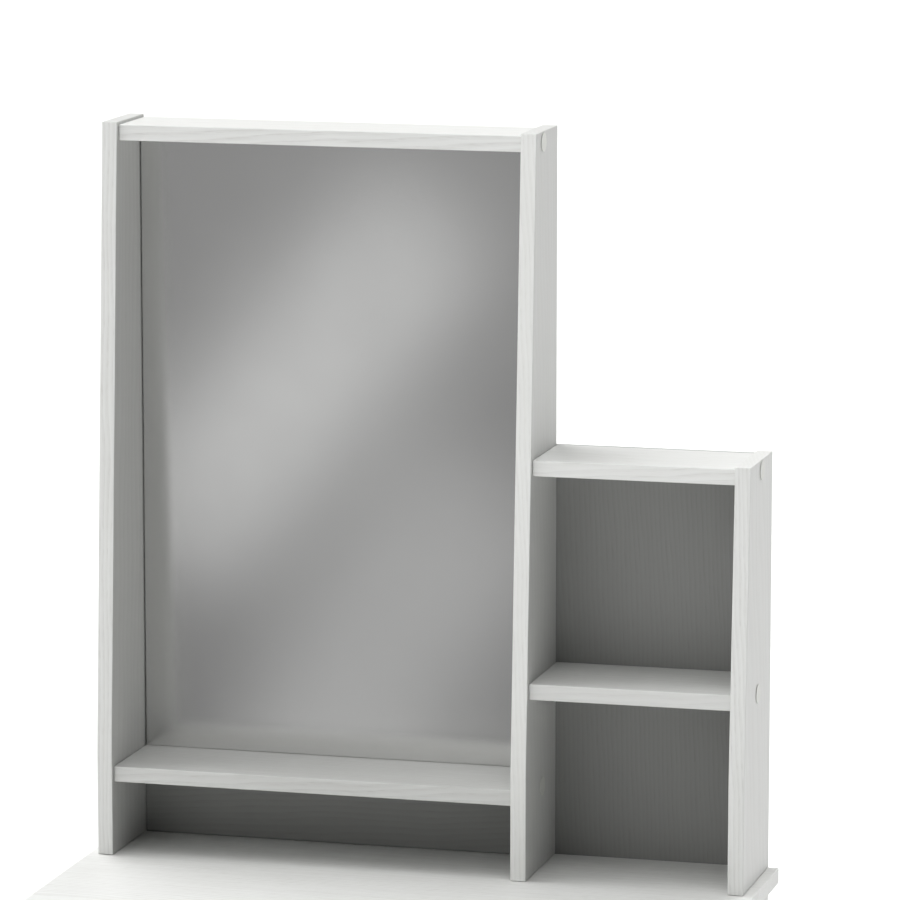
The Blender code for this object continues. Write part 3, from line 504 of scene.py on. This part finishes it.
# Points (out from the drawer front, radius) of the foot's edge, then of the waist and head.
KNOB_STEPS = 8  # of the curve between two of its points
KNOB_FLATS = 96
KNOB_FOOT = [(0.0, 0.0), (0.0, 0.0088), (0.0002, 0.0090)]
KNOB_WAIST = [(0.0014, 0.0090), (0.0022, 0.0086), (0.0040, 0.0066), (0.0078, 0.0066), (0.0108, 0.0112),
              (0.0130, 0.0133), (0.0150, 0.0134), (0.0168, 0.0124), (0.0176, 0.0100), (0.0179, 0.0060),
              (0.0180, 0.0)]
low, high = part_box("drawer_knob")
foot = ((low.x + high.x) / 2, high.y, (low.z + high.z) / 2)
knob = revolve("turned_knob", KNOB_FOOT + curve_through(KNOB_WAIST, KNOB_STEPS), foot, (0, -1, 0),
               KNOB_FLATS)
knob.data.materials.append(brushed_round("satin_nickel_plate", foot))
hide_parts("drawer_knob")
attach(knob, "drawer")
dress("knob_screw", zinc)


# ---- Runners and rollers ------------------------------------------------------------------------
# Rolled steel sections under a white powder coat: a channel on each desk side and an angle under
# each drawer side. Each has one nylon roller on a riveted axle, moulded with a hub, a thin web and
# a rim.


def powder_coat(name):
    """White powder coat: an even gloss broken by orange peel 1.2 mm across."""
    material, tree = start_material(name)
    place = add_node(tree, "ShaderNodeTexCoord")
    peel = add_node(tree, "ShaderNodeTexNoise", Vector=place.outputs["Object"], Scale=830.0, Detail=1.0)
    tone = add_node(tree, "ShaderNodeMix", {"data_type": "RGBA"}, in_0=peel.outputs["Fac"],
                    in_6=linear("#E6E6E4"), in_7=linear("#DCDCD9"))
    relief = add_node(tree, "ShaderNodeBump", Strength=0.3, Distance=0.00006,
                      Height=peel.outputs["Fac"])
    shader = add_node(tree, "ShaderNodeBsdfPrincipled", Base_Color=tone.outputs[2], Roughness=0.33,
                      IOR=1.5, Normal=relief.outputs[0])
    close_material(tree, shader)
    return material


coat = powder_coat("white_powder_coat")
nylon = moulded_plastic("natural_nylon", "#E8E7E0", "#DAD9D0", 0.35, 0.0008)
ROLLER_FLATS = 64
# Points (out from the middle plane, radius) from the bore over the hub, web and rim to the tread.
ROLLER_HALF = [(0.0034, 0.0024), (0.0034, 0.0040), (0.0022, 0.0044), (0.0022, 0.0072), (0.0034, 0.0076),
               (0.0034, 0.0086), (0.0033, 0.00886), (0.0030, 0.0090)]
ROLLER_PROFILE = ROLLER_HALF + [(-along, radius) for along, radius in reversed(ROLLER_HALF)]
for end in ("left", "right"):
    dress(f"cabinet_runner_{end}", coat)
    dress(f"drawer_runner_{end}", coat)
    for spot in ("front", "rear"):
        low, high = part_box(f"{spot}_roller_{end}")
        roller = revolve(f"{spot}_nylon_roller_{end}", ROLLER_PROFILE, (low + high) / 2, (1, 0, 0),
                         ROLLER_FLATS, closed=True)
        roller.data.materials.append(nylon)
        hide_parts(f"{spot}_roller_{end}")
        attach(roller, f"{spot}_roller_{end}_body")


# ---- Studio -------------------------------------------------------------------------------------
# A wide pale floor with a white horizon wall, under broad diffused lamps that are far enough off
# to light everything evenly. A grey cloth with two softboxes on it hangs in front of the table,
# out of the picture, and is what the mirror shows.


def add_stage(name, points, faces, material, mirrored=False):
    """A flat or folded surface that isn't part of the table and throws no light on it. It's in
    plain view or, where mirrored is true, shows in glossy surfaces alone."""
    mesh = bpy.data.meshes.new(name)
    mesh.from_pydata(points, [], faces)
    mesh.materials.append(material)
    made = bpy.data.objects.new(name, mesh)
    bpy.context.scene.collection.objects.link(made)
    made.visible_camera = not mirrored
    made.visible_glossy = mirrored
    made.visible_diffuse = False
    made.visible_shadow = False


def pale_paper(name):
    """Seamless paper: nearly white and quite matt, with a faint fibre tone."""
    material, tree = start_material(name)
    place = add_node(tree, "ShaderNodeTexCoord")
    fibre = add_node(tree, "ShaderNodeTexNoise", Vector=place.outputs["Object"], Scale=40.0, Detail=3.0)
    tone = add_node(tree, "ShaderNodeMix", {"data_type": "RGBA"}, in_0=fibre.outputs["Fac"],
                    in_6=linear("#F8F8F7"), in_7=linear("#F6F6F5"))
    shader = add_node(tree, "ShaderNodeBsdfPrincipled", Base_Color=tone.outputs[2], Roughness=0.95,
                      Specular_IOR_Level=0.1)
    close_material(tree, shader)
    return material


def lit_surface(name, strength, strength_up=None):
    """A lit white surface. Where strength_up is given, its strength goes from strength at the
    floor to strength_up two metres above it."""
    material, tree = start_material(name)
    shader = add_node(tree, "ShaderNodeEmission", Color=linear("#FFFFFF"), Strength=strength)
    if strength_up is not None:
        place = add_node(tree, "ShaderNodeTexCoord")
        height = add_node(tree, "ShaderNodeSeparateXYZ", Vector=place.outputs["Object"])
        fall = add_node(tree, "ShaderNodeMapRange", Value=height.outputs["Z"], From_Max=2.0,
                        To_Min=strength, To_Max=strength_up)
        tree.links.new(fall.outputs[0], shader.inputs["Strength"])
    close_material(tree, shader)
    return material


REACH = 60.0
WALL_HEIGHT = 60.0
corners = [(-REACH, -REACH), (REACH, -REACH), (REACH, REACH), (-REACH, REACH)]
add_stage("floor", [(x, y, 0.0) for x, y in corners], [(0, 1, 2, 3)], pale_paper("seamless_paper"))
wall_points = [(x, y, z) for z in (0.0, WALL_HEIGHT) for x, y in corners]
wall_faces = [(0, 1, 5, 4), (1, 2, 6, 5), (2, 3, 7, 6), (3, 0, 4, 7)]
add_stage("horizon_wall", wall_points, wall_faces, lit_surface("lit_white_wall", 1.1))

# The cloth and the softboxes hang upright, square to the mirror.
CLOTH_Y = -1.02
CLOTH = [(-3.0, CLOTH_Y, -1.0), (3.0, CLOTH_Y, -1.0), (3.0, CLOTH_Y, 3.0), (-3.0, CLOTH_Y, 3.0)]
add_stage("grey_cloth", CLOTH, [(0, 1, 2, 3)], lit_surface("grey_cloth", 0.11, 0.42), mirrored=True)
SOFTBOX_Y = -1.01
# Each softbox: its middle across and up, its half length and half width, its slope in degrees and
# its strength.
SOFTBOXES = {
    "upper": (-0.496, 0.960, 0.272, 0.090, 50.2, 0.77),
    "lower": (-0.376, 0.664, 0.220, 0.106, 55.5, 0.54),
}
for name, (middle_x, middle_z, half, side, slope, strength) in SOFTBOXES.items():
    cosine, sine = math.cos(math.radians(slope)), math.sin(math.radians(slope))
    square = [(-half, -side), (half, -side), (half, side), (-half, side)]
    points = [(middle_x + u * cosine - v * sine, SOFTBOX_Y, middle_z + u * sine + v * cosine)
              for u, v in square]
    add_stage(f"{name}_softbox", points, [(0, 1, 2, 3)],
              lit_surface(f"{name}_softbox", strength), mirrored=True)

scene = bpy.context.scene
scene.view_settings.view_transform = "Standard"
scene.cycles.diffuse_bounces = 2  # which keeps the recesses dark, as in a set with black flags

SKY = 0.0
GROUND = 1.493  # the light that the lit floor throws up
HORIZON = 0.05  # half the height of the band in which one passes into the other
world = bpy.data.worlds.new("sky")
world.use_nodes = True
scene.world = world
tree = world.node_tree
tree.nodes.clear()
way = add_node(tree, "ShaderNodeTexCoord")
height = add_node(tree, "ShaderNodeSeparateXYZ", Vector=way.outputs["Generated"])
glow = add_node(tree, "ShaderNodeMapRange", Value=height.outputs["Z"], From_Min=-HORIZON,
                From_Max=HORIZON, To_Min=GROUND, To_Max=SKY)
light = add_node(tree, "ShaderNodeBackground", Strength=glow.outputs[0])
tree.links.new(light.outputs[0], tree.nodes.new("ShaderNodeOutputWorld").inputs["Surface"])

# Each lamp: azimuth from the front towards the right, height above the horizon, how wide a patch
# of sky it fills, all in degrees, and its strength.
LAMPS = {
    "overhead": (0, 88, 50, 1.16),
    "left_rear_high": (-112, 60, 45, 1.95),
    "left_low": (-90, 15, 30, 0.35),
    "left_front": (-67, 32, 45, 0.53),
    "right_rear": (157, 32, 45, 1.44),
    "right_front": (22, 60, 40, 0.42),
    "front": (-22, 32, 40, 0.36),
}
for name, (azimuth, elevation, spread, strength) in LAMPS.items():
    data = bpy.data.lights.new(name, "SUN")
    data.energy = strength
    data.angle = math.radians(spread)
    lamp = bpy.data.objects.new(name, data)
    lamp.rotation_euler = (math.radians(90 - elevation), 0, math.radians(azimuth))
    scene.collection.objects.link(lamp)


# ---- Camera -------------------------------------------------------------------------------------
# A long lens at the right of the table, looking slightly down at the hutch.

data = bpy.data.cameras.new("camera")
data.lens = 213.34
data.sensor_width = 36.0
data.clip_start = 0.1
data.clip_end = 400.0
camera = bpy.data.objects.new("camera", data)
camera.location = (1.29965, -4.62934, 1.92555)
camera.rotation_euler = (math.radians(80.48), 0, math.radians(15.0385))
scene.collection.objects.link(camera)
scene.camera = camera
